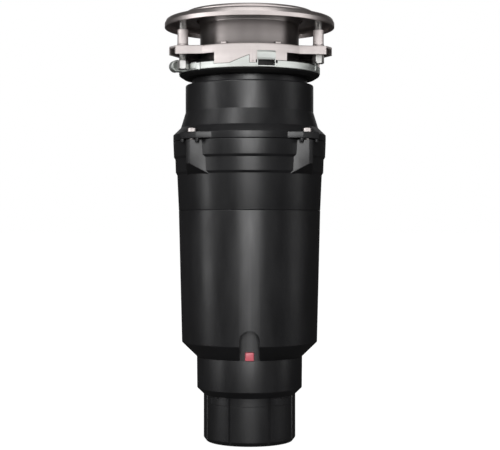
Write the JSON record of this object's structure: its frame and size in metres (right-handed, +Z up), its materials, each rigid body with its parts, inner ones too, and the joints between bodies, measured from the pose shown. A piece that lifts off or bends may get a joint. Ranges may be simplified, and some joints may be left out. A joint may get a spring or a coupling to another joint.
{
  "type": "kitchen garbage disposal",
  "caption": "Under-sink food waste disposer: black moulded body with motor, turntable and swivel impellers, drain housing, hopper, and a quarter-turn steel sink mount.",
  "frame": {"origin": "centre of the round bottom face that the object stands on", "axes": "+Z up along the motor's axis; the reset button faces -Y and the discharge outlet faces +Y"},
  "size_m": [0.1474, 0.2005, 0.3708],
  "materials": {
    "black_plastic": "satin moulded",
    "black_rubber": "matt",
    "grey_rubber": "matt",
    "stainless": "bright drawn",
    "zinc_plate": "zinc plated sheet",
    "fibre": "pressed paper fibre",
    "copper": "enamelled wire",
    "core_steel": "laminated",
    "cast_aluminium": "die cast",
    "bronze": "sintered",
    "foam": "felted foam",
    "red_plastic": "smooth",
    "green_screw": "smooth"
  },
  "bodies": {
    "housing": {"bottom_housing": "black_plastic", "outer_shell": "black_plastic", "overload_protector": "black_plastic", "start_relay": "black_plastic", "drain_housing": "black_plastic", "discharge_elbow": "black_plastic", "hopper": "black_plastic", "shaft_seal": "black_rubber", "mounting_gasket": "black_rubber", "discharge_gasket": "grey_rubber", "housing_seal": "grey_rubber", "grind_ring": "stainless", "hopper_screw_1": "stainless", "hopper_screw_2": "stainless", "hopper_screw_3": "stainless", "hopper_screw_4": "stainless", "terminal_cover": "zinc_plate", "terminal_cover_screw": "zinc_plate", "through_bolt_1": "zinc_plate", "through_bolt_2": "zinc_plate", "through_bolt_3": "zinc_plate", "through_bolt_4": "zinc_plate", "discharge_flange": "zinc_plate", "discharge_screw_1": "zinc_plate", "discharge_screw_2": "zinc_plate", "stator_winding_lower": "copper", "stator_winding_upper": "copper", "motor_can": "core_steel", "stator_core": "core_steel", "lower_end_frame": "cast_aluminium", "upper_end_frame": "cast_aluminium", "lower_bearing": "bronze", "upper_bearing": "bronze", "thrust_washer": "bronze", "sound_insulation": "foam", "earth_screw": "green_screw"},
    "rotor": {"motor_shaft": "stainless", "rotor_core": "core_steel", "rotor_end_ring_lower": "cast_aluminium", "rotor_end_ring_upper": "cast_aluminium", "turntable": "stainless", "turntable_nut": "zinc_plate", "impeller_pin_1": "stainless", "impeller_pin_2": "stainless"},
    "impeller_left": {"impeller_1": "stainless"},
    "impeller_right": {"impeller_2": "stainless"},
    "reset": {"reset_button": "red_plastic"},
    "turning_ring": {"lower_mounting_ring": "zinc_plate"},
    "sink_mount": {"sink_flange": "stainless", "fibre_gasket": "fibre", "backup_flange": "zinc_plate", "upper_mounting_ring": "zinc_plate", "snap_ring": "stainless", "mounting_screw_1": "zinc_plate", "mounting_screw_2": "zinc_plate", "mounting_screw_3": "zinc_plate"},
    "guard": {"splash_guard": "black_rubber"}
  },
  "joints": [
    {"name": "rotor_spin", "type": "hinge", "parent": "housing", "child": "rotor", "pos_m": [0, 0, 0.2], "axis": [0, 0, 1], "continuous": true},
    {"name": "impeller_left_swivel", "type": "hinge", "parent": "rotor", "child": "impeller_left", "pos_m": [-0.036, 0, 0.252], "axis": [0, 0, 1], "continuous": true},
    {"name": "impeller_right_swivel", "type": "hinge", "parent": "rotor", "child": "impeller_right", "pos_m": [0.036, 0, 0.252], "axis": [0, 0, 1], "continuous": true},
    {"name": "reset_press", "type": "slide", "parent": "housing", "child": "reset", "axis": [0, 1, 0], "range_m": [0, 0.002], "stiffness_N_per_m": 400, "springref_m": -0.001},
    {"name": "lower_ring_turn", "type": "hinge", "parent": "housing", "child": "turning_ring", "pos_m": [0, 0, 0.32], "axis": [0, 0, 1], "range_deg": [-36, 0]},
    {"name": "mount_release", "type": "slide", "parent": "housing", "child": "sink_mount", "axis": [0, 0, 1], "range_m": [0, 0.0149]},
    {"name": "splash_guard_lift", "type": "slide", "parent": "housing", "child": "guard", "axis": [0, 0, 1], "range_m": [0, 0.06]}
  ],
  "couplings": [
    {"joint": "mount_release", "follows": "lower_ring_turn", "m_per_rad": -0.023488}
  ]
}
